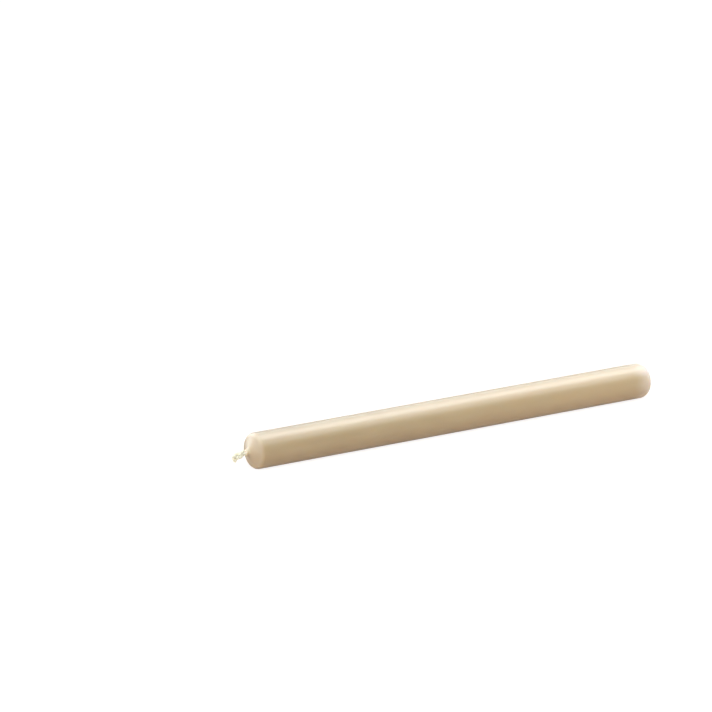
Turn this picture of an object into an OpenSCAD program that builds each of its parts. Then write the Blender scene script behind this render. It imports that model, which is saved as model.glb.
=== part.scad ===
// Dinner candle lying on its side: a straight-sided wax body round one plaited cotton wick.
// Sizes are in millimetres and angles in degrees. +Z is up.
// The origin is the middle of the butt face. The candle's axis runs from there along -X to its head,
// and its side rests at Z = -candle_d / 2.

/* [Wax body] */
// Diameter of the straight side, which is what a candle holder takes
candle_d = 22; // [16:0.5:30]
// Length of the wax from the butt face to the rim round the wick
wax_l = 300; // [120:1:400]

/* [Head] */
// Radius of the rounded shoulder between the side and the cone
shoulder_r = 3.4; // [1:0.1:5]
// Slope of the cone, away from a square cut across the candle
cone_angle = 24; // [10:1:40]
// Radius of the hollow curve in which the wax runs up the wick
neck_r = 1.6; // [0.6:0.1:2.5]
// Thickness of the wax at the rim of the neck
rim_w = 0.25; // [0.1:0.05:0.5]

/* [Butt] */
// Radius of the rounded edge of the butt face
butt_r = 5; // [1:0.25:6]

/* [Wick] */
// Diameter of the wick where the wax holds it together
wick_d = 3.4; // [2:0.1:4]
// Clearance all round between the wick and its hole in the wax
wick_fit = 0.02; // [0.01:0.01:0.1]
// Length of the free end of the wick beyond the rim, along its own line
stub_l = 9.8; // [5:0.1:20]
// Length of wick, from the rim, in which it turns down
bend_l = 4; // [1:0.1:5]
// Slope of the free end below the candle's axis
bend_angle = 18; // [0:1:45]

/* [Plait] */
// Diameter of one strand at the cut end, where its yarns have loosened
strand_end_d = 1.95; // [1:0.05:2.5]
// Width across the plait at the cut end
plait_end_w = 4.4; // [3:0.1:6]
// Thickness through the plait at the cut end
plait_end_t = 3; // [2.6:0.1:4]
// Length of wick in which a strand crosses to the far edge and comes back
plait_pitch = 15; // [8:0.5:20]
// Where in its swing the first strand is as it leaves the wax
plait_start = 45; // [0:5:120]
// Turn of the plait's broad side about the wick's own line
plait_turn = 15; // [-90:5:90]

/* [Hidden] */

candle_r = candle_d / 2;
// The wick's hole goes right through, and is cut this far past both ends.
hole_r = wick_d / 2 + wick_fit;
CUT_PAST = 1;
rim_r = hole_r + rim_w;

// The neck's hollow curve is an arc centred beside the wick. It leaves the cone and ends at the rim,
// level with the arc's centre.
neck_c = [rim_r + neck_r, wax_l];
neck_foot = neck_c - neck_r * [sin(cone_angle), cos(cone_angle)];

// The cone falls from the foot of the neck and meets the shoulder's arc where their slopes agree.
shoulder_cx = candle_r - shoulder_r;
cone_edge_x = shoulder_cx + shoulder_r * sin(cone_angle);
cone_edge_z = neck_foot[1] - (cone_edge_x - neck_foot[0]) * tan(cone_angle);
side_end_z = cone_edge_z - shoulder_r * cos(cone_angle);

// Three round strands fill a round wick when each has this share of its diameter.
STRANDS = 3;
PACKED_SHARE = 1 / (1 + 1 / sin(180 / STRANDS));
strand_d = PACKED_SHARE * wick_d;

// The plait starts this far inside the rim, and is swept in rings of this many sides.
root_l = 0.8;
RINGS = 28;
RING_SIDES = 12;
WICK_SIDES = 48;
// A strand's own run is read between points this far before and after.
READ_STEP = 0.01;

function blend(a, b, share) = a + (b - a) * share;
function unit(v) = v / norm(v);

// The free end's line, at s millimetres beyond the rim: straight, then an arc, then straight again.
bend_r = bend_angle == 0 ? 0 : bend_l / bend_angle * 180 / PI;
function slope(s) = bend_angle * min(max(s / bend_l, 0), 1);
function arc_point(s) = bend_r * [cos(slope(s)) - 1, 0, sin(slope(s))];
function line_dir(s) = [-sin(slope(s)), 0, cos(slope(s))];
function line_point(s) =
    s <= 0 || bend_angle == 0 ? [0, 0, s]
    : arc_point(s) + max(s - bend_l, 0) * line_dir(s);

// The plait's own cross directions: its broad side lies along wide(s), and deep(s) goes through it.
function wide(s) = cos(plait_turn) * [cos(slope(s)), 0, sin(slope(s))] + sin(plait_turn) * [0, 1, 0];
function deep(s) = cross(line_dir(s), wide(s));

// The plait has loosened by this share at s. Most of it comes near the rim.
function loosened(s) = 1 - pow(1 - max(s, 0) / stub_l, 2);
function strand_size(s) = blend(strand_d, strand_end_d, loosened(s));
function swing_wide(s) = blend(wick_d - strand_d, plait_end_w - strand_end_d, loosened(s)) / 2;
function swing_deep(s) = blend((wick_d - strand_d) / 2, plait_end_t - strand_end_d, loosened(s)) / 2;

// Each strand swings from edge to edge once in a pitch, and in front and behind twice.
function strand_point(s, start) =
    line_point(s)
    + swing_wide(s) * sin(360 * s / plait_pitch + start) * wide(s)
    + swing_deep(s) * sin(2 * (360 * s / plait_pitch + start)) * deep(s);

// One ring of a strand's skin, square to the strand's own run.
function skin_ring(s, start) =
    let (
        run = unit(strand_point(s + READ_STEP, start) - strand_point(s - READ_STEP, start)),
        across = unit(cross(run, [0, 1, 0])),
        aside = cross(run, across)
    )
    [
        for (side = [0 : RING_SIDES - 1])
            let (angle = 360 * side / RING_SIDES)
            strand_point(s, start) + strand_size(s) / 2 * (cos(angle) * across + sin(angle) * aside)
    ];

// A quarter of a disc, which rounds an outer corner.
module corner_round(r) {
    intersection() {
        circle(r);
        square(r);
    }
}

// Half of the body's section: straight edges from a polygon, and true arcs at the shoulder, neck and butt.
module body_section() {
    difference() {
        union() {
            polygon([
                [0, 0],
                [candle_r - butt_r, 0],
                [candle_r - butt_r, butt_r],
                [candle_r, butt_r],
                [candle_r, side_end_z],
                [shoulder_cx, side_end_z],
                [cone_edge_x, cone_edge_z],
                neck_foot,
                neck_c,
                [0, wax_l],
            ]);
            translate([candle_r - butt_r, butt_r]) mirror([0, 1]) corner_round(butt_r);
            translate([shoulder_cx, side_end_z]) corner_round(shoulder_r);
        }
        translate(neck_c) circle(neck_r);
        translate([0, -CUT_PAST]) square([hole_r, wax_l + 2 * CUT_PAST]);
    }
}

// Turns an upright candle, butt down, into one that lies with its head at -X.
module lay_down() {
    rotate([0, -90, 0]) children();
}

module wax_body() {
    color([0.80, 0.71, 0.58])
        lay_down() rotate_extrude($fn = 96) body_section();
}

// One strand: its rings joined by triangles, with a flat cut at each end.
module strand(start) {
    step = (stub_l + root_l) / RINGS;
    points = [for (ring = [0 : RINGS]) each skin_ring(step * ring - root_l, start)];
    around = [for (side = [0 : RING_SIDES - 1]) side];
    top = RINGS * RING_SIDES;
    skin = [
        for (ring = [0 : RINGS - 1], side = around)
            let (
                a = ring * RING_SIDES + side,
                b = ring * RING_SIDES + (side + 1) % RING_SIDES
            )
            each [[a, a + RING_SIDES, b], [b, a + RING_SIDES, b + RING_SIDES]]
    ];
    polyhedron(points, concat(skin, [around], [[for (side = around) top + RING_SIDES - 1 - side]]));
}

module wick() {
    color([0.95, 0.93, 0.84])
        lay_down() {
            cylinder(d = wick_d, h = wax_l, $fn = WICK_SIDES);
            translate([0, 0, wax_l])
                for (i = [0 : STRANDS - 1]) strand(plait_start + 360 / STRANDS * i);
        }
}

wax_body();
wick();
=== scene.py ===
# %% [markdown]
# # A dinner candle, dressed for its picture
# The candle is two pieces: a straight-sided body of beige wax, and one plaited cotton wick that runs
# through it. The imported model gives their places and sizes. This script gives them the surfaces that a
# close look finds: the soft shine of wax, the hollow neck where it runs up the wick, and the cotton's
# twisted yarns and stray fibres. Blender works in metres, so a size in millimetres is written with MM.

import math

import bpy
import numpy as np
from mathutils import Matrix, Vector


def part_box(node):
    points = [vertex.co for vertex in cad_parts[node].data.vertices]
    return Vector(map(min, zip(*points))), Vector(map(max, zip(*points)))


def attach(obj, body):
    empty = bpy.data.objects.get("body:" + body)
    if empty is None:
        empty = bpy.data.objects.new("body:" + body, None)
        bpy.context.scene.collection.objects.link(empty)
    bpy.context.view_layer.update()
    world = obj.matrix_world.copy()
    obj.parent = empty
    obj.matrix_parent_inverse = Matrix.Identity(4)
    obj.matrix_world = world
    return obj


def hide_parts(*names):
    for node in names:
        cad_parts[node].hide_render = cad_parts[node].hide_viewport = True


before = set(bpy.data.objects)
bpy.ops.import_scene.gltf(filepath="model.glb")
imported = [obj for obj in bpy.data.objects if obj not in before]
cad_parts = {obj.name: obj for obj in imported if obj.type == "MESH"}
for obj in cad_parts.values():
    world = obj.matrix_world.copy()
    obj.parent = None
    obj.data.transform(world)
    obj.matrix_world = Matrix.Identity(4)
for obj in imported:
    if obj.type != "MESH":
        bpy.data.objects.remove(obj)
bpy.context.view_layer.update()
MM = 0.001
wax_low, wax_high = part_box("wax_body")
CANDLE_R = (wax_high[2] - wax_low[2]) / 2
WAX_L = wax_high[0] - wax_low[0]
print("solids:", *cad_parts)
print("wax", round(2 * CANDLE_R / MM, 2), "mm across and", round(WAX_L / MM, 2), "mm long")

# %% [markdown]
# ## The camera
# A picture of a long thin thing is mostly perspective, so the camera comes first. The candle's two
# straight edges draw together only a little in the picture, which means a long lens from far away. A
# camera could be moved about by hand until the view is right. Here it is placed by what it looks at,
# how far off it stands and its two angles, because each of them can be changed without the others. It
# stands to the left of square-on, so the wick's end comes nearer, and it looks a little down.

# %% The camera
AIM = (-0.2209, 0.0, 0.0473)
AIM_DISTANCE = 2.510
CAMERA_AROUND = 234.9
CAMERA_UP = 14.1
LENS = 212.4
SENSOR = 36.0
FARTHEST_SEEN = 50.0


def direction(around, up):
    """The unit vector at these degrees round from +X towards +Y, and up from level.

    Its height is the sine of the second angle, and the cosine is shared out by the first."""
    around, up = math.radians(around), math.radians(up)
    return np.array((math.cos(around) * math.cos(up), math.sin(around) * math.cos(up), math.sin(up)))


def aim_object(thing, place, target):
    """Stands a camera or lamp at a place, with its -Z axis towards the target and +Y upwards."""
    thing.location = place
    thing.rotation_euler = (Vector(target) - Vector(place)).to_track_quat("-Z", "Y").to_euler()


camera = bpy.data.objects.new("camera", bpy.data.cameras.new("camera"))
bpy.context.collection.objects.link(camera)
camera.data.lens = LENS
camera.data.sensor_fit = "HORIZONTAL"
camera.data.sensor_width = SENSOR
camera.data.clip_end = FARTHEST_SEEN
aim_object(camera, np.array(AIM) + AIM_DISTANCE * direction(CAMERA_AROUND, CAMERA_UP), AIM)
bpy.context.scene.camera = camera
print("camera at", [round(x, 3) for x in camera.location])

# %% [markdown]
# ## One line through the candle and its wick
# Both pieces are rings carried along one line. It starts at the butt end, runs straight through the wax
# along -X, and goes on along the wick's free end, which turns down a little. A curve object could hold
# this line, but every formula below needs its points and cross directions. So a function works them
# out for any place on the line, and each surface becomes a radius and an angle.

# %% The candle's line
BEND_L = 4 * MM
BEND_ANGLE = math.radians(18)
STUB_L = 9.8 * MM


def line_at(s):
    """The line's point, run, and two cross directions at s metres beyond the rim of the wax.

    Before the rim it is straight. Over BEND_L it is an arc that turns down by BEND_ANGLE, and then it is
    straight again. The cross directions are upright and level where the line is level."""
    s = np.asarray(s, float)
    turn = BEND_ANGLE * np.clip(s / BEND_L, 0, 1)
    radius = BEND_L / BEND_ANGLE
    after = np.maximum(s - BEND_L, 0)
    before = np.minimum(s, 0)
    along = before + radius * np.sin(turn) + after * np.cos(turn)
    drop = radius * (1 - np.cos(turn)) + after * np.sin(turn)
    nought = np.zeros_like(s)
    point = np.stack([-WAX_L - along, nought, -drop], -1)
    run = np.stack([-np.cos(turn), nought, -np.sin(turn)], -1)
    upright = np.stack([-np.sin(turn), nought, np.cos(turn)], -1)
    level = np.stack([nought, nought + 1, nought], -1)
    return point, run, upright, level


print("the wick's line ends at", (line_at(STUB_L)[0] / MM).round(2).tolist(), "mm")

# %% [markdown]
# ## Grids of points made into meshes
# Modifiers and curves could make most of these pieces, but not a film that climbs a plait, nor a value
# for the finish at each point. So every new surface is a grid worked out by numpy, with rows along the
# piece and columns round it. The columns close on themselves, and a pole, a point in the middle of the
# end ring, closes each end. Every face lists its corners so that it points outwards.


# %% Faces of a grid
def grid_faces(rows, columns):
    """Quads between neighbouring rows and columns of a grid whose columns close on themselves.

    A point's number is its row times the number of columns, plus its column."""
    row, column = np.meshgrid(np.arange(rows - 1), np.arange(columns), indexing="ij")
    below, beside = row + 1, (column + 1) % columns
    corners = (row, column), (row, beside), (below, beside), (below, column)
    return np.stack([a * columns + b for a, b in corners], -1).reshape(-1, 4)


print("a tube of 3 rings and 4 sides has", len(grid_faces(3, 4)), "quads")


# %% A mesh from points and faces
def add_mesh(name, points, quads, material, triangles=(), **point_values):
    """A smooth mesh object from points and faces, with named values stored on its points."""
    mesh = bpy.data.meshes.new(name)
    faces = [*np.asarray(quads).tolist(), *np.asarray(triangles).tolist()]
    mesh.from_pydata(np.asarray(points).reshape(-1, 3).tolist(), [], faces)
    mesh.polygons.foreach_set("use_smooth", np.ones(len(mesh.polygons), bool))
    for key, values in point_values.items():
        layer = mesh.attributes.new(key, "FLOAT", "POINT")
        layer.data.foreach_set("value", np.asarray(values, np.float32).ravel())
    mesh.materials.append(material)
    mesh.update()
    piece = bpy.data.objects.new(name, mesh)
    bpy.context.collection.objects.link(piece)
    print(name, len(mesh.vertices), "points", len(mesh.polygons), "faces")
    return piece


# %% Tubes gathered into one mesh
class Heap:
    """Collects tubes as grids, closes their ends with a point each, and makes them one mesh."""

    def __init__(self, *names):
        self.points, self.quads, self.triangles, self.count = [], [], [], 0
        self.values = {name: [] for name in names}

    def add(self, grid, *values):
        """Adds one tube: its grid, and the heap's named values at every point of it.

        Each pole is the mean of its end ring, and triangles join it to the ring."""
        rows, columns = grid.shape[:2]
        self.points.append(np.concatenate([grid.reshape(-1, 3), grid[[0, -1]].mean(1)]))
        self.quads.append(grid_faces(rows, columns) + self.count)
        column = np.arange(columns)
        beside = (column + 1) % columns
        pole = np.full(columns, rows * columns)
        last = (rows - 1) * columns
        self.triangles.append(np.stack([beside, column, pole], 1) + self.count)
        self.triangles.append(np.stack([last + column, last + beside, pole + 1], 1) + self.count)
        for kept, value in zip(self.values.values(), values):
            value = np.broadcast_to(value, (rows, columns))
            kept.append(np.concatenate([value.ravel(), value[[0, -1], 0]]))
        self.count += rows * columns + 2

    def piece(self, name, material):
        """Everything in the heap as one mesh object."""
        points, quads, triangles = map(np.concatenate, (self.points, self.quads, self.triangles))
        values = {key: np.concatenate(kept) for key, kept in self.values.items()}
        return add_mesh(name, points, quads, material, triangles, **values)


# %% [markdown]
# ## Ripples that repeat each run
# Nothing that is cast or twisted is quite true, so several shapes below stray a little. A random number
# for each point would give a rough skin. A few long sines with random runs and starts give a gentle
# ripple instead, and a fixed seed gives the same one each time.

# %% Gentle ripples
RIPPLE_WAVES = 7
RIPPLE_PACE = 1.6
RIPPLE_SIZE = 1.4


def smooth_noise(seed, *coordinates):
    """A gentle random ripple, mostly from -1 to 1: the mean of a few sines, made larger.

    Each sine is of a random mix of the coordinates, plus a random start."""
    rng = np.random.default_rng(seed)
    total = 0
    for _ in range(RIPPLE_WAVES):
        pull = rng.normal(size=len(coordinates))
        start = rng.uniform(0, 2 * np.pi)
        total = total + np.sin(sum(p * c for p, c in zip(pull, coordinates)) * RIPPLE_PACE + start)
    return total / RIPPLE_WAVES * RIPPLE_SIZE


def smooth_step(x):
    """0 below 0, 1 above 1, and between them three times x squared less twice x cubed."""
    x = np.clip(x, 0, 1)
    return x * x * (3 - 2 * x)


def round_the_ring(columns):
    """Evenly spaced angles once round, without the last, which is the first again."""
    return np.linspace(0, 2 * np.pi, columns, endpoint=False)


def on_circle(angle, size):
    """The cosine and sine of an angle times a size: a ripple that reads them closes on itself.

    The larger the size, the more ripples there are round the ring."""
    return size * np.cos(angle), size * np.sin(angle)


sample = smooth_noise(1, np.linspace(0, 20, 200))
print("a ripple runs from", round(sample.min(), 2), "to", round(sample.max(), 2))

# %% [markdown]
# ## Shader maths as Python
# A node tree is easier to read as sums. `Wire` stands for the output of a node, and its operators add
# Math nodes, so that `1 - mask * 0.5` is written as it is read. Any other node comes from
# `Finish.node`, which sets the node's settings first and then its sockets. The finishes of the two
# pieces and the floor, and the light of the surroundings, are all made with it.


# %% Sums of what nodes give
class Wire:
    """The output of a node. Sums with it make Math nodes."""

    def __init__(self, finish, socket):
        self.finish, self.socket = finish, socket

    def _maths(self, operation, *values):
        inputs = dict(enumerate(values))
        return self.finish.node("Math", {"operation": operation}, inputs)

    def __add__(self, other):
        return self._maths("ADD", self, other)

    def __rsub__(self, other):
        return self._maths("SUBTRACT", other, self)

    def __mul__(self, other):
        return self._maths("MULTIPLY", self, other)

    __radd__ = __add__

    def sine(self):
        """The sine of this value."""
        return self._maths("SINE", self)

    def between(self, low, high):
        """0 at or below low, 1 at or above high, and a smooth step from one to the other."""
        inputs = {"Value": self, "From Min": low, "From Max": high}
        return self.finish.node("MapRange", {"interpolation_type": "SMOOTHSTEP"}, inputs)


# %% A finish under construction
class Finish:
    """The nodes of a material, or of the world, under construction."""

    def __init__(self, owner):
        owner.use_nodes = True
        self.owner, self.tree = owner, owner.node_tree
        self.tree.nodes.clear()

    def node(self, kind, settings=None, inputs=None, output=0):
        """Adds a node by its type, with its settings set first and then its sockets.

        Sockets and the output are given by name or number. The output comes back as a Wire."""
        made = self.tree.nodes.new("ShaderNode" + kind)
        for key, value in (settings or {}).items():
            setattr(made, key, value)
        for key, value in (inputs or {}).items():
            if isinstance(value, Wire):
                self.tree.links.new(value.socket, made.inputs[key])
            else:
                made.inputs[key].default_value = value
        return Wire(self, made.outputs[output]) if len(made.outputs) else None

    def place(self):
        """Where a point is on its own object. A pattern that reads it stays on the piece."""
        return self.node("TexCoord", output="Object")

    def stored(self, name):
        """A value that the mesh stores on its points under this name."""
        return self.node("Attribute", {"attribute_name": name}, output="Fac")

    def mix(self, share, first, second):
        """Blends two colours. The Mix node's sockets 6 and 7 and its output 2 are those for colours."""
        return self.node("Mix", {"data_type": "RGBA"}, {0: share, 6: first, 7: second}, 2)

    def noise(self, place, scale, detail, roughness, stretch=None):
        """Cloudy noise from 0 to 1, with its pattern pulled out along an axis where stretch is given.

        The scale is the number of its blotches in a metre."""
        if stretch is not None:
            place = self.node("Mapping", None, {"Vector": place, "Scale": stretch})
        inputs = {"Vector": place, "Scale": scale, "Detail": detail, "Roughness": roughness}
        return self.node("TexNoise", None, inputs)

    def bump(self, height, strength, distance):
        """A normal that follows a height."""
        inputs = {"Height": height, "Strength": strength, "Distance": distance}
        return self.node("Bump", None, inputs)

    def surface(self, shader, end="OutputMaterial"):
        """Ends the tree with this shader, and returns what the tree belongs to."""
        self.node(end, None, {"Surface": shader})
        print(self.owner.name, "has", len(self.tree.nodes), "nodes")
        return self.owner


# %% Screen colours
def srgb(red, green, blue):
    """A colour as it is read off a screen, from 0 to 255, in the linear values that shaders use.

    The screen's curve is a power of 2.4, with a straight stretch for the darkest values."""
    screen = np.array((red, green, blue)) / 255
    linear = np.where(screen <= 0.04045, screen / 12.92, ((screen + 0.055) / 1.055) ** 2.4)
    return (*linear.tolist(), 1.0)


print("a screen's middle grey is", round(srgb(128, 128, 128)[0], 3), "of white in linear light")

# %% [markdown]
# ## Wax
# Candle wax is not opaque: light goes a few millimetres in and comes out softened and warmer, most of
# all in red. That is subsurface scattering, and it is why thin edges of a candle glow. The colour is
# nearly even, with slow clouds left by cooling, and gets a little paler towards the butt. The skin is
# paler and rougher still over the butt's rounding, and a little so over the head's shoulder and cone.
# A painted image could show all this, but it would need a seam and would blur in a close look. Noise
# on the piece's own coordinates has no seam and stays sharp. What belongs to a place on the candle
# comes from two values that the mesh carries: one for the paler skin, and `coated`, which is 1 where
# the wax is only a film on the wick and shows its cotton.

# %% The wax finish
WAX_LIGHT = srgb(178, 161, 127)
WAX_DEEP = srgb(171, 153, 119)
WAX_BUTT_END = srgb(189, 170, 134)
# The skin's paler colour over the butt's rounding, and less so over the head's shoulder and cone
WAX_PALER_SKIN = srgb(223, 213, 199)
COTTON_SOAKED = srgb(243, 233, 206)
# The colour drifts to the butt end's over this last stretch of the candle.
DRIFT_L = 240 * MM
# How far light spreads in the wax, and the shares of that for red, green and blue
WAX_GLOW_L = 2.6 * MM
WAX_GLOW_BY_COLOUR = (1.0, 0.62, 0.36)
WAX_BUMP = 0.15 * MM
WAX_ROUGHNESS = 0.27
# These add to the roughness where the clouds, the specks or the paler skin are strongest.
CLOUD_ROUGHNESS = 0.05
SPECK_ROUGHNESS = 0.05
PALER_SKIN_ROUGHNESS = 0.25


def wax_finish():
    """Beige candle wax: cloudy colour, light that spreads inside, and a satin skin.

    Noise stays near its middle, so the stretch from 0.35 to 0.65 is spread out to make the clouds."""
    wax = Finish(bpy.data.materials.new("candle wax"))
    place = wax.place()
    clouds = wax.noise(place, scale=45.0, detail=3.0, roughness=0.55, stretch=(0.35, 1.0, 1.0))
    specks = wax.noise(place, scale=900.0, detail=2.0, roughness=0.6)
    skin = wax.noise(place, scale=260.0, detail=4.0, roughness=0.55, stretch=(0.3, 1.0, 1.0))
    coated = wax.stored("coated")
    paler_skin = wax.stored("paler_skin")
    along = wax.node("SeparateXYZ", None, {"Vector": place}, "X")
    cloudy = wax.mix(clouds.between(0.35, 0.65), WAX_DEEP, WAX_LIGHT)
    drifted = wax.mix(along.between(-DRIFT_L, 0.0), cloudy, WAX_BUTT_END)
    paler_colour = wax.mix(paler_skin, drifted, WAX_PALER_SKIN)
    roughness = WAX_ROUGHNESS + clouds * CLOUD_ROUGHNESS + specks * SPECK_ROUGHNESS
    inputs = {
        "Base Color": wax.mix(coated, paler_colour, COTTON_SOAKED),
        "Roughness": roughness + paler_skin * PALER_SKIN_ROUGHNESS,
        "IOR": 1.44,
        "Specular IOR Level": 1.0,
        "Subsurface Weight": 0.75,
        "Subsurface Radius": WAX_GLOW_BY_COLOUR,
        "Subsurface Scale": WAX_GLOW_L,
        "Normal": wax.bump(skin, strength=0.12, distance=WAX_BUMP),
    }
    return wax.surface(wax.node("BsdfPrincipled", {"subsurface_method": "RANDOM_WALK"}, inputs))


candle_wax = wax_finish()

# %% [markdown]
# ## Cotton
# Raw cotton is matt and a little yellow, with a faint bright edge from its fuzz, which is what sheen
# is for. Light passes through its thin yarns, so it has subsurface scattering too. Near the candle it
# has drunk wax: there it is darker, more beige and less rough. A woven image would not follow the
# plait, so the mesh carries two values for this finish: `soak`, from 1 in the wax to 0 at the dry end,
# and `fibre`, which counts round each yarn so that fine ridges can follow its twist.

# %% The cotton finish
COTTON_DRY = srgb(250, 250, 222)
COTTON_SHADE = srgb(241, 240, 212)
# How far light spreads in the cotton, and the shares of that for red, green and blue
COTTON_GLOW_L = 0.9 * MM
COTTON_GLOW_BY_COLOUR = (1.0, 0.95, 0.85)
COTTON_BUMP = 0.05 * MM
DRY_ROUGHNESS = 0.9
SOAKED_ROUGHNESS = 0.45


def cotton_finish():
    """Cream cotton yarn with fine ridges along its twist, soaked with wax near the candle.

    It looks wet where it is soaked by more than 0.15, and its noise is spread out like the wax's."""
    cotton = Finish(bpy.data.materials.new("wick cotton"))
    lint = cotton.noise(cotton.place(), scale=2600.0, detail=4.0, roughness=0.65)
    wet = cotton.stored("soak").between(0.15, 1.0)
    ridges = (cotton.stored("fibre") * (2 * math.pi)).sine() * 0.5 + lint
    dry = cotton.mix(lint.between(0.3, 0.7), COTTON_SHADE, COTTON_DRY)
    inputs = {
        "Base Color": cotton.mix(wet, dry, COTTON_SOAKED),
        "Roughness": DRY_ROUGHNESS - wet * (DRY_ROUGHNESS - SOAKED_ROUGHNESS),
        "Subsurface Weight": 0.65,
        "Subsurface Radius": COTTON_GLOW_BY_COLOUR,
        "Subsurface Scale": COTTON_GLOW_L,
        "Sheen Weight": 0.25,
        "Sheen Roughness": 0.4,
        "Normal": cotton.bump(ridges, strength=0.35, distance=COTTON_BUMP),
    }
    return cotton.surface(cotton.node("BsdfPrincipled", None, inputs))


wick_cotton = cotton_finish()

# %% [markdown]
# ## The strands of the plait
# The wick is three strands plaited like hair. Seen from its broad side, each strand swings from edge to
# edge, and it passes in front and behind twice for each swing, a third of a turn after its neighbour.
# Where the wax grips it the plait is tight and round, and towards the cut end it has loosened. Three
# curves could be bent by hand, point by point. Two sines, one twice as fast as the other, give the same
# crossings exactly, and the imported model's wick follows the same formula, so the two agree.

# %% Paths of the three strands
STRANDS = 3
WICK_R = 1.7 * MM
# Three alike circles that touch one another fill a circle of the wick's radius when each has this one.
STRAND_R = WICK_R / (1 + 1 / math.sin(math.pi / STRANDS))
STRAND_END_R = 0.975 * MM
# Width across the plait and thickness through it at the cut end, and the length of one whole swing
PLAIT_END_W = 4.4 * MM
PLAIT_END_T = 3.0 * MM
PLAIT_PITCH = 15 * MM
# Where the first strand is in its swing at the rim, and the turn of the plait about the wick's line
PLAIT_START = math.radians(45)
PLAIT_TURN = math.radians(15)


def loosened(s, tight, loose):
    """A size that is tight in the wax and grows to its loose value at the cut end, most at first.

    The growth is 1 less the square of the share of the free end that is still to come."""
    return tight + (loose - tight) * (1 - (1 - np.clip(s / STUB_L, 0, 1)) ** 2)


def strand_path(s, strand):
    """A strand's middle at s metres beyond the rim, which swings across the plait and through it.

    It lies across by the sine of its phase, and through by the sine of twice its phase."""
    point, _, upright, level = line_at(s)
    wide = math.cos(PLAIT_TURN) * upright + math.sin(PLAIT_TURN) * level
    deep = -math.sin(PLAIT_TURN) * upright + math.cos(PLAIT_TURN) * level
    phase = 2 * np.pi * (s / PLAIT_PITCH + strand / STRANDS) + PLAIT_START
    reach_wide = loosened(s, WICK_R - STRAND_R, PLAIT_END_W / 2 - STRAND_END_R)
    reach_deep = loosened(s, (WICK_R - STRAND_R) / 2, PLAIT_END_T / 2 - STRAND_END_R)
    across = (reach_wide * np.sin(phase))[..., None] * wide
    through = (reach_deep * np.sin(2 * phase))[..., None] * deep
    return point + across + through


print("a strand grows from", round(2 * STRAND_R / MM, 2), "to", round(2 * STRAND_END_R / MM, 2), "mm across")

# %% [markdown]
# ## The wax body
# The real body is wax that was cast or dipped round the wick. A section turned on a lathe, which is
# Blender's Screw modifier, would make all of it but one thing: at the head a film of wax climbs the
# strands a little way, and there it isn't round. So the body is one closed grid, and its rings follow
# the section from end to end. They start near the head, at the bottom of a short pocket that the
# strands come out of, and run down the wick's hole to the flat butt face. Then they go round the
# butt's edge, along the side, over the shoulder and up the cone. The neck is a hollow curve that meets
# the wick. From there each ring of the film follows whatever the strands reach at each angle, and the
# last ones dive in between them. Wax shrinks as it cools, so the skin dips by a few hundredths of a
# millimetre.

# %% The wax body's section
SHOULDER_R = 3.4 * MM
CONE_ANGLE = math.radians(24)
NECK_R = 1.6 * MM
BUTT_R = 5 * MM
WICK_FIT = 0.02 * MM
RIM_W = 0.25 * MM
HOLE_R = WICK_R + WICK_FIT
RIM_R = HOLE_R + RIM_W


def arc(centre, radius, first, last, steps):
    """Points on an arc, without its last one, as (distance from the axis, distance from the butt).

    Each is the centre plus the radius times the cosine and the sine of its angle."""
    angle = np.linspace(first, last, steps, endpoint=False)
    return np.stack([centre[0] + radius * np.cos(angle), centre[1] + radius * np.sin(angle)], 1)


def straight(first, last, steps):
    """Evenly spaced points on a straight stretch, without its last one."""
    return np.linspace(first, last, steps, endpoint=False)


neck_centre = np.array((RIM_R + NECK_R, WAX_L))
neck_foot = neck_centre - NECK_R * np.array((math.sin(CONE_ANGLE), math.cos(CONE_ANGLE)))
shoulder_x = CANDLE_R - SHOULDER_R
cone_edge_x = shoulder_x + SHOULDER_R * math.sin(CONE_ANGLE)
cone_edge_z = neck_foot[1] - (cone_edge_x - neck_foot[0]) * math.tan(CONE_ANGLE)
side_end = cone_edge_z - SHOULDER_R * math.cos(CONE_ANGLE)
butt_flat = CANDLE_R - BUTT_R
section = np.concatenate(
    [
        straight((HOLE_R, 0), (butt_flat, 0), steps=14),
        arc((butt_flat, BUTT_R), BUTT_R, -math.pi / 2, 0, steps=26),
        straight((CANDLE_R, BUTT_R), (CANDLE_R, side_end), steps=190),
        arc((shoulder_x, side_end), SHOULDER_R, 0, math.pi / 2 - CONE_ANGLE, steps=18),
        straight((cone_edge_x, cone_edge_z), neck_foot, steps=26),
        arc(neck_centre, NECK_R, -math.pi / 2 - CONE_ANGLE, -math.pi, steps=14),
    ]
)
print("straight side ends", round(side_end / MM, 2), "mm from the butt")

# %% The film of wax on the strands
FILM_L = 1.6 * MM
FILM_RINGS = 14
FILM_SKIN = 0.14 * MM
# The skin's thickness falls by this many times itself over the film, so it ends inside the strands.
FILM_THINS = 1.5
# How fast the film goes over from the rim to the strands' own form
FILM_GRIP = 2.2
# How much longer or shorter the film is here and there, and how often that changes round its edge
FILM_WAVE = 0.3
EDGE_WAVES = 2
# The last rings dive towards the line from this share of the film, by this share of their radius.
DIVE_FROM = 0.72
DIVE = 0.75
# How closely the soft maximum keeps to the largest reach: its exponentials grow by this a millimetre.
SHARPNESS = 9.0
# A strand that isn't there at an angle still counts by this share of its radius.
LEAST_REACH = 0.35
# The soft maximum of alike reaches is too large, and is taken down by the logarithm of this.
OVERCOUNT = 1.6


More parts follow.
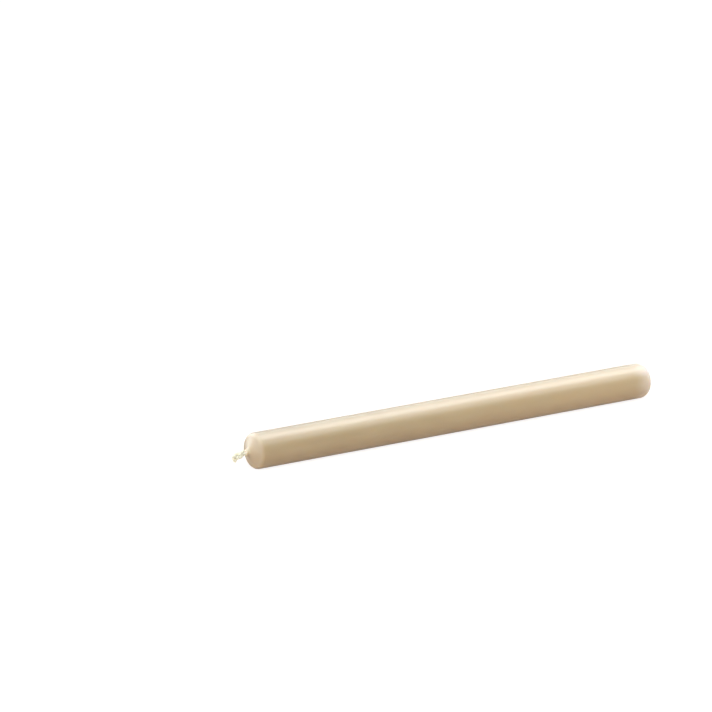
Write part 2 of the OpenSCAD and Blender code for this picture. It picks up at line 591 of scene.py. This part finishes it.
def strands_reach(s, angle):
    """How far the strands reach from the line at each s and angle: a soft maximum over the three.

    A strand reaches as far as its middle does towards the angle plus half its chord there. The soft
    maximum is the logarithm of the sum of the reaches' exponentials."""
    point, _, upright, level = line_at(s)
    size = loosened(s, STRAND_R, STRAND_END_R)
    reaches = []
    for strand in range(STRANDS):
        offset = strand_path(s, strand) - point
        up, side = (offset * upright).sum(-1), (offset * level).sum(-1)
        toward = up * np.cos(angle) + side * np.sin(angle)
        aside = up * np.sin(angle) - side * np.cos(angle)
        half_chord = np.sqrt(np.maximum(size**2 - aside**2, 0))
        reaches.append(np.where(np.abs(aside) < size, toward + half_chord, LEAST_REACH * size))
    reaches = np.stack(reaches) / MM
    return np.log(np.exp(SHARPNESS * reaches).sum(0) / OVERCOUNT) / SHARPNESS * MM


def film_rings(angle):
    """The film's distance along the line and its radius, for each ring and angle.

    The radius goes over from the rim's to the strands' reach plus a thinning skin, and then dives."""
    share = np.linspace(0, 1, FILM_RINGS + 1)[1:, None]
    edge = 1 + FILM_WAVE * smooth_noise(5, *on_circle(angle, EDGE_WAVES))
    s = share * FILM_L * edge
    snug = strands_reach(s, angle * np.ones_like(s))
    skin = FILM_SKIN * (1 - FILM_THINS * share)
    grip = np.clip(share * FILM_GRIP, 0, 1)
    dive = 1 - DIVE * np.clip((share - DIVE_FROM) / (1 - DIVE_FROM), 0, 1) ** 2
    return s, (RIM_R + (snug + skin - RIM_R) * grip) * dive


film_s, film_r = film_rings(round_the_ring(4)[None, :])
print("the film ends", (film_s[-1] / MM).round(2).tolist(), "mm beyond the rim, at four angles")

# %% The wax body's surface
WAX_COLUMNS = 144
POCKET_L = 1.6 * MM
POCKET_RINGS = 5
POCKET_INNERMOST = 0.04
HOLE_RINGS = 30
# The skin dips by about twice these at most: slowly along the candle, and finely.
DIP = 0.02 * MM
DIP_L = 22 * MM
DIP_WAVES = 1.5
DIMPLE = 0.006 * MM
DIMPLE_L = 3 * MM
DIMPLE_WAVES = 3
# The dips fade out over this distance towards the rim, which the strands fill.
DIP_FADE = 3 * MM
# The film shows the cotton fully from this far beyond the rim.
COAT_L = 0.8 * MM
# The paler skin starts about this far from the butt, and the head's is this share of it.
PALER_SKIN_L = 16 * MM
PALER_SKIN_WAVE = 1.2 * MM
HEAD_PALER_SKIN = 0.22


def dipped(radius, s, angle):
    """The radius less two random ripples, one slow and one fine, that grow outwards from the rim."""
    ripple = smooth_noise(11, s / DIP_L, *on_circle(angle, DIP_WAVES))
    dimple = smooth_noise(12, s / DIMPLE_L, *on_circle(angle, DIMPLE_WAVES))
    dip = DIP * (1 + ripple) + DIMPLE * (1 + dimple)
    return radius - dip * np.clip((radius - RIM_R) / DIP_FADE, 0, 1)


def paler_skin_at(s, angle):
    """The paler skin: a smooth step up towards the butt, with a wavy start, and a weaker one at the head."""
    from_butt = s + WAX_L + PALER_SKIN_WAVE * smooth_noise(14, *on_circle(angle, EDGE_WAVES))
    paler_skin = smooth_step((PALER_SKIN_L - from_butt) / PALER_SKIN_L)
    return paler_skin + HEAD_PALER_SKIN * smooth_step((s + WAX_L - side_end) / SHOULDER_R)


def wax_rings():
    """The body's grid of points, and its two values for the finish, at each ring and angle.

    Each point lies on the line at s, plus its radius times the cosine of its angle upright and the
    sine level. The rings run from the pocket's bottom to the tip of the film."""
    angle = round_the_ring(WAX_COLUMNS)[None, :]
    same = np.ones_like(angle)
    pocket_r = np.linspace(POCKET_INNERMOST, 1, POCKET_RINGS)[:-1, None] * HOLE_R
    hole_s = np.linspace(-POCKET_L, -WAX_L, HOLE_RINGS)[:-1, None]
    film_s, film_r = film_rings(angle)
    radius = [pocket_r * same, HOLE_R + 0 * hole_s * same, section[:, :1] * same, film_r]
    s = [0 * pocket_r * same - POCKET_L, hole_s * same, (section[:, 1:] - WAX_L) * same, film_s]
    radius, s = np.concatenate(radius), np.concatenate(s)
    radius = dipped(radius, s, angle)
    point, _, upright, level = line_at(s)
    ring = np.cos(angle)[..., None] * upright + np.sin(angle)[..., None] * level
    return point + radius[..., None] * ring, np.clip(s / COAT_L, 0, 1), paler_skin_at(s, angle)


wax_heap = Heap("coated", "paler_skin")
wax_heap.add(*wax_rings())
body = wax_heap.piece("candle_body", candle_wax)

# %% [markdown]
# ## The wick
# Each strand is seven yarns laid round one another with a twist, and each yarn is a tube whose skin
# has the ridges of its own finer twist. At the cut end the yarns differ in length and lean outwards.
# Curves with a round bevel would give smooth yarns, so each yarn is a grid round its path instead, and
# its radius can differ with the ring and the side. Inside the candle none of this shows, so the wick
# is a plain round cord there, down to its cut end at the butt, where the yarns' ends make small bumps.
# Last come the stray fibres: fine hairs that leave the yarns and curl away.


# %% Tubes along paths
def cross_directions(path):
    """Two directions square to a path at each point, kept from turning by holding to world Z.

    The first is world Z less its part along the path, and the second is square to that and the path."""
    run = np.gradient(path, axis=0)
    run /= np.linalg.norm(run, axis=1, keepdims=True)
    up = np.array((0.0, 0.0, 1.0))
    first = up - (run @ up)[:, None] * run
    first /= np.linalg.norm(first, axis=1, keepdims=True)
    return first, np.cross(run, first)


def tube(path, radius):
    """A grid of points round a path. The radius may differ with the ring and the side.

    Each point is the path's plus the radius times the cosine and sine of its angle across the path."""
    first, second = cross_directions(path)
    angle = round_the_ring(radius.shape[1])
    ring = np.cos(angle)[None, :, None] * first[:, None] + np.sin(angle)[None, :, None] * second[:, None]
    return path[:, None] + radius[..., None] * ring


SOAKED_L = 3.5 * MM
SOAK_POWER = 1.5


def soaked(s):
    """1 inside the wax, falling to 0 a few millimetres along the wick's free end.

    It is a power of the share of SOAKED_L that is still to come."""
    return np.clip(1 - s / SOAKED_L, 0, 1) ** SOAK_POWER


print("halfway along the soaked length the wick is soaked by", soaked(SOAKED_L / 2).round(2))


# %% A yarn in its strand
YARNS_ROUND = 6
YARN_TWIST_L = 7.5 * MM
# A yarn's radius, and how far it lies from its strand's middle, as shares of the strand's radius that
# loosen towards the cut end
YARN_SHARE = 1 / 3
YARN_SWELL = (1.08, 1.2)
YARN_LEAN = (0.64, 0.70)
# How far a yarn leads away from the wick's line at its cut end, and over which length
SPREAD = 0.55 * MM
SPREAD_L = 2.6 * MM
SPREAD_POWER = 2.5
SWAY = 0.05 * MM
SWAY_L = 1.3 * MM
# Keeps a direction from being divided by nothing where a yarn lies on the wick's own line
TINY = 1e-9


def yarn_radius(s):
    """A yarn's radius: a third of its strand's, a little more where the strand has loosened."""
    return loosened(s, STRAND_R, STRAND_END_R) * YARN_SHARE * loosened(s, *YARN_SWELL)


def laid_in_strand(s, strand, yarn, start):
    """A yarn's path: a helix round its strand's middle, or the middle itself for yarn 0.

    The helix turns once in YARN_TWIST_L, and start, in turns, is added to the yarn's own place."""
    middle = strand_path(s, strand)
    first, second = cross_directions(middle)
    twist = 2 * np.pi * (s / YARN_TWIST_L + yarn / YARNS_ROUND + start)
    lean = (loosened(s, STRAND_R, STRAND_END_R) * loosened(s, *YARN_LEAN) if yarn else 0 * s)[:, None]
    return middle + lean * (np.cos(twist)[:, None] * first + np.sin(twist)[:, None] * second)


def frayed(s, path, length, share):
    """The path, led away from the wick's line over the last SPREAD_L of its length.

    It leaves by this share of SPREAD times a power of how near the cut end is."""
    outward = path - line_at(s)[0]
    outward /= np.linalg.norm(outward, axis=1, keepdims=True) + TINY
    near_end = np.clip((s - length + SPREAD_L) / SPREAD_L, 0, 1)[:, None]
    return path + outward * near_end**SPREAD_POWER * SPREAD * share


def sway(s, seed):
    """A small random ripple in all three directions, which grows evenly towards the cut end."""
    ripples = np.stack([smooth_noise(seed + k, s / SWAY_L) for k in range(3)], 1)
    return ripples * SWAY * np.clip(s / STUB_L, 0, 1)[:, None]


print("a yarn is", round(2 * yarn_radius(STUB_L) / MM, 2), "mm across at the cut end")

# %% The skin of a yarn
YARN_SIDES = 12
PLIES = 4
PLY_TWIST_L = 1.5 * MM
# The ridges' height, and the cut end's radius at its tip, as shares of the yarn's radius
PLY_RIDGE = 0.09
YARN_BLUNT = 0.25
YARN_DOME_L = 0.35 * MM
FIBRES_IN_PLY = 3


def yarn_skin(s, length):
    """A yarn's radius, and its count of plies round it and along it, at each ring and side.

    The count grows by PLIES round the yarn and by one in PLY_TWIST_L along it, and the ridges are its
    sine. The end closes like a dome, by the square root of the distance to it, and stays a bit blunt."""
    angle = round_the_ring(YARN_SIDES)[None, :]
    ply = PLIES * angle / (2 * np.pi) + (s / PLY_TWIST_L)[:, None]
    dome = np.sqrt(np.clip((length - s) / YARN_DOME_L, 0, 1))[:, None]
    ridges = 1 + PLY_RIDGE * np.sin(2 * np.pi * ply)
    return yarn_radius(s)[:, None] * ridges * np.maximum(dome, YARN_BLUNT), ply


print("a ply goes once round its yarn in", round(PLIES * PLY_TWIST_L / MM, 2), "mm")

# %% All the yarns
YARN_RINGS = 96
ROOT_L = 1.6 * MM
# A yarn ends up to this far before or beyond the free end's length.
CUT_BEFORE = 0.55 * MM
CUT_BEYOND = 0.15 * MM
# Its place in the twist is off by up to this share of a turn, and it takes part in the spread by a
# share between these two.
TWIST_SCATTER = 0.03
SPREAD_SHARES = (0.1, 1.0)
rng = np.random.default_rng(21)
wick_heap = Heap("soak", "fibre")
yarns = []
for strand in range(STRANDS):
    for yarn in range(YARNS_ROUND + 1):
        length = STUB_L + rng.uniform(-CUT_BEFORE, CUT_BEYOND)
        s = np.linspace(-ROOT_L, length, YARN_RINGS)
        path = laid_in_strand(s, strand, yarn, rng.uniform(-TWIST_SCATTER, TWIST_SCATTER))
        path = frayed(s, path, length, rng.uniform(*SPREAD_SHARES)) + sway(s, 100 + 9 * strand + yarn)
        radius, ply = yarn_skin(s, length)
        wick_heap.add(tube(path, radius), soaked(s)[:, None], ply * FIBRES_IN_PLY)
        yarns.append((s, path))
print(len(yarns), "yarns, cut", round(min(s[-1] for s, _ in yarns) / MM, 2), "mm from the rim or further")

# %% The stray fibres
FIBRES = 260
FIBRE_RINGS = 8
FIBRE_SIDES = 4
FIBRE_R = 0.03 * MM
FIBRE_TIP_R = 0.008 * MM
FIBRE_SHORTEST = 0.3 * MM
FIBRE_LONGEST = 1.1 * MM
FIBRE_SOAK = 0.3
# The hairs stand on this share of a yarn, up to its cut end, and crowd there by this power. Towards
# the other end their length shrinks by the next share.
FIBRE_STRETCH = 0.75
FIBRE_CROWDING = 1.6
FIBRE_SHRINKS = 0.6
# How far a hair leads outwards, with a random scatter, and along the wick, and how much it bends
FIBRE_OUT = 0.45
FIBRE_SCATTER = 0.35
FIBRE_ALONG = (-0.2, 0.9)
FIBRE_BEND = 0.55
# A hair starts this share of its yarn's radius away from the yarn's middle.
FIBRE_FOOT = 0.5


def stray_fibre():
    """The grid of one hair on a random yarn, and how soaked it is.

    More hairs stand near the cut end, and they are longer there. A hair starts inside its yarn, runs
    out and along by an even share, and bends to one side by the square of the way along it. It thins
    evenly to its tip."""
    s, path = yarns[rng.integers(len(yarns))]
    place = 1 - FIBRE_STRETCH * rng.uniform() ** FIBRE_CROWDING
    ring = int(place * (len(s) - 1))
    point, run, _, _ = line_at(s[ring])
    outward = path[ring] - point
    outward = outward / (np.linalg.norm(outward) + TINY) + rng.normal(size=3) * FIBRE_SCATTER
    length = rng.uniform(FIBRE_SHORTEST, FIBRE_LONGEST) * (1 - FIBRE_SHRINKS * (1 - place))
    t = np.linspace(0, 1, FIBRE_RINGS)[:, None]
    bend = rng.normal(size=3) * FIBRE_BEND
    course = t * (outward * FIBRE_OUT + run * rng.uniform(*FIBRE_ALONG)) + t**2 * bend
    hair = path[ring] + outward * yarn_radius(s[ring]) * FIBRE_FOOT + length * course
    thin = (FIBRE_TIP_R + (FIBRE_R - FIBRE_TIP_R) * (1 - t)) * np.ones((1, FIBRE_SIDES))
    return tube(hair, thin), soaked(s[ring]) * FIBRE_SOAK


for _ in range(FIBRES):
    hair, soak = stray_fibre()
    wick_heap.add(hair, soak, 0.0)
print(FIBRES, "stray fibres")

# %% The cord inside the wax, with its cut end at the butt
CORD_SIDES = 64
CORD_RINGS = 40
CORD_TOP = -1.7 * MM
# The side starts this far from the butt face, and the cut end's cap joins it there.
CORD_EDGE = 0.5 * MM
CAP_RINGS = 26
CAP_INNERMOST = 0.02
CAP_SOAK = 0.75
# The hollows between the yarns' ends lie this deep, and each end stands up this much from them.
CUT_DEPTH = 0.22 * MM
CUT_DOME = 0.18 * MM
CUT_YARN_R = 0.3 * MM
# The yarns' ends lie in rings: each ring's radius, and how many are in it.
CUT_RINGS = ((0.0, 1), (0.62 * MM, 6), (1.27 * MM, 12))
# Each ring is turned by this many radians for a metre of its radius, so that the ends don't line up.
CUT_STAGGER = 900


def cut_end(high, aside):
    """Where the cut end's surface lies along X: a low dome for each yarn's end, just below flush.

    A dome's height is the square root of 1 less the square of how far off its middle is, in its radii."""
    height = np.full(high.shape, -CUT_DEPTH)
    for ring_r, count in CUT_RINGS:
        for k in range(count):
            turn = 2 * np.pi * k / count + ring_r * CUT_STAGGER
            apart = np.hypot(high - ring_r * np.cos(turn), aside - ring_r * np.sin(turn))
            dome = np.sqrt(np.clip(1 - (apart / CUT_YARN_R) ** 2, 0, 1))
            height = np.maximum(height, -CUT_DEPTH + CUT_DOME * dome)
    return height


def cord_rings():
    """The cord's grid of points: rings across its cut end, and then rings of one radius up its side."""
    angle = round_the_ring(CORD_SIDES)[None, :]
    cap_r = np.linspace(CAP_INNERMOST, 1, CAP_RINGS)[:, None] * WICK_R
    high, aside = cap_r * np.cos(angle), cap_r * np.sin(angle)
    cap = np.stack([cut_end(high, aside), aside, high], -1)
    point, _, upright, level = line_at(np.linspace(-WAX_L + CORD_EDGE, CORD_TOP, CORD_RINGS))
    ring = np.cos(angle)[..., None] * upright[:, None] + np.sin(angle)[..., None] * level[:, None]
    return np.concatenate([cap, point[:, None] + WICK_R * ring])


cord_soak = np.concatenate([np.full(CAP_RINGS, CAP_SOAK), np.ones(CORD_RINGS)])[:, None]
wick_heap.add(cord_rings(), cord_soak, 0.0)
wick = wick_heap.piece("plaited_wick", wick_cotton)

# %% [markdown]
# ## The floor
# The floor is plain and pale, and a little warm where its light comes back up under the candle. A lit
# white sheet would hardly ever come out as an even white. So the camera sees mostly a glowing surface,
# and the rest of it is matt and takes a light shadow. The Light Path node tells what kind of ray is
# looking. Other light meets only the matt floor, and what shows in the wax's shine is between the two.

# %% The floor
FLOOR_SIZE = 6.0
FLOOR_COLOUR = (0.72, 0.60, 0.52, 1)
FLOOR_WHITE = 1.45
SHADOW_SHARE = 0.4
FLOOR_SHINE = 0.3


def is_seen(finish):
    """1 for what the camera sees straight, some of it for what shows in a shine, 0 for other light."""
    straight_on = finish.node("LightPath", output="Is Camera Ray")
    in_shine = finish.node("LightPath", output="Is Glossy Ray")
    return straight_on + in_shine * FLOOR_SHINE


def floor_finish():
    """A pale matt floor that the camera sees as white with a light shadow."""
    floor = Finish(bpy.data.materials.new("studio floor"))
    matt = floor.node("BsdfDiffuse", None, {"Color": FLOOR_COLOUR})
    white = floor.node("Emission", None, {"Strength": FLOOR_WHITE})
    share = is_seen(floor) * (1 - SHADOW_SHARE)
    return floor.surface(floor.node("MixShader", None, {0: share, 1: matt, 2: white}))


half = FLOOR_SIZE / 2
corners = [(x, y, wax_low[2]) for x, y in ((-half, -half), (half, -half), (half, half), (-half, half))]
floor = add_mesh("floor", corners, [(0, 1, 2, 3)], floor_finish())

# %% [markdown]
# ## Light
# An image of a real studio could light the candle in one step, but its lights couldn't be moved one
# by one. Two kinds of light stand round the candle instead. Large soft lamps give the wax its even
# body colour, and the shine doesn't see them. The shine is a matter of its own: smooth wax mirrors
# whatever stands behind and above it, so pale cards and long strips stand there, which only a shiny
# surface sees. The strips run along the candle, so they draw the broad pale band on its upper side
# from wherever it is looked at. The cards draw the crescent on the head and the pale edge of the butt.

# %% The surroundings
WORLD_GREY = 0.3


def light_surroundings():
    """White for the camera, and a little grey light from everywhere on the candle."""
    world = Finish(bpy.data.worlds.new("surroundings"))
    seen = world.node("LightPath", output="Is Camera Ray")
    strength = seen * (1 - WORLD_GREY) + WORLD_GREY
    light = world.node("Background", None, {"Color": (1, 1, 1, 1), "Strength": strength})
    return world.surface(light, "OutputWorld")


bpy.context.scene.world = light_surroundings()
bpy.context.scene.view_settings.view_transform = "Standard"

# %% Lamps, cards and strips
LAMP_DISTANCE = 2.5
# Each round lamp or card: its direction from the candle, in degrees round from +X towards +Y and up,
# then half the angle that it fills as the candle sees it, and its brightness.
LAMPS = {
    "left lamp": (180, 15, 28, 1.45),
    "front lamp": (240, 50, 28, 3.3),
    "lamp behind the head": (120, 10, 28, 1.0),
    "lamp beyond the butt": (355, 6, 28, 2.5),
}
CARDS = {
    "card beyond the butt": (350, 3, 28, 0.9),
    "high card behind the head": (100, 36, 17.5, 3.5),
    "card behind the head": (125, 15, 20, 3.9),
    "low card behind the wick": (95, 5, 17.5, 2.5),
    "card beyond the wick": (178, 12, 28, 1.2),
}
# Each strip lies along the candle and faces it: its middle, then its length and width, and its
# brightness.
STRIPS = {
    "narrow strip overhead": ((0.4, 0.15, 1.1), (4.0, 0.75), 3.5),
    "wide strip overhead": ((0.4, 0.16, 1.1), (4.0, 2.9), 2.2),
    "low strip behind": ((0.4, 2.0, 0.9), (4.0, 1.5), 0.9),
}


def add_lamp(name, shape, place, target, size, brightness):
    """A flat lamp that looks equally bright all over: its power is its brightness times pi and area."""
    lamp = bpy.data.objects.new(name, bpy.data.lights.new(name, "AREA"))
    lamp.data.shape = shape
    lamp.data.size, lamp.data.size_y = size
    area = size[0] * size[1] * (math.pi / 4 if shape == "ELLIPSE" else 1)
    lamp.data.energy = brightness * math.pi * area
    aim_object(lamp, place, target)
    lamp.visible_camera = False
    bpy.context.collection.objects.link(lamp)
    return lamp


def add_round_lamp(name, around, up, half_angle, brightness):
    """A round lamp that faces the candle's middle from this direction.

    It is as wide as twice its distance times the tangent of the half angle."""
    middle = np.array((-WAX_L / 2, 0, 0))
    place = middle + LAMP_DISTANCE * direction(around, up)
    width = 2 * LAMP_DISTANCE * math.tan(math.radians(half_angle))
    return add_lamp(name, "ELLIPSE", place, middle, (width, width), brightness)


for name, numbers in LAMPS.items():
    lamp = add_round_lamp(name, *numbers)
    lamp.visible_glossy = False
for name, numbers in CARDS.items():
    card = add_round_lamp(name, *numbers)
    card.visible_diffuse = False
for name, (middle, size, brightness) in STRIPS.items():
    strip = add_lamp(name, "RECTANGLE", middle, (middle[0], 0, 0), size, brightness)
    strip.visible_diffuse = False
print(len(LAMPS), "lamps for the colour,", len(CARDS) + len(STRIPS), "cards and strips for the shine")

# %% [markdown]
# ## Handing the pieces to the model
# Each new piece rides on the candle's one body, and the imported solid that it takes the place of is hidden.

# %% Hand over
for piece, node, slot in ((body, "wax_body", "wax"), (wick, "wick", "wick_cotton")):
    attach(piece, "root")
    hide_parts(node)
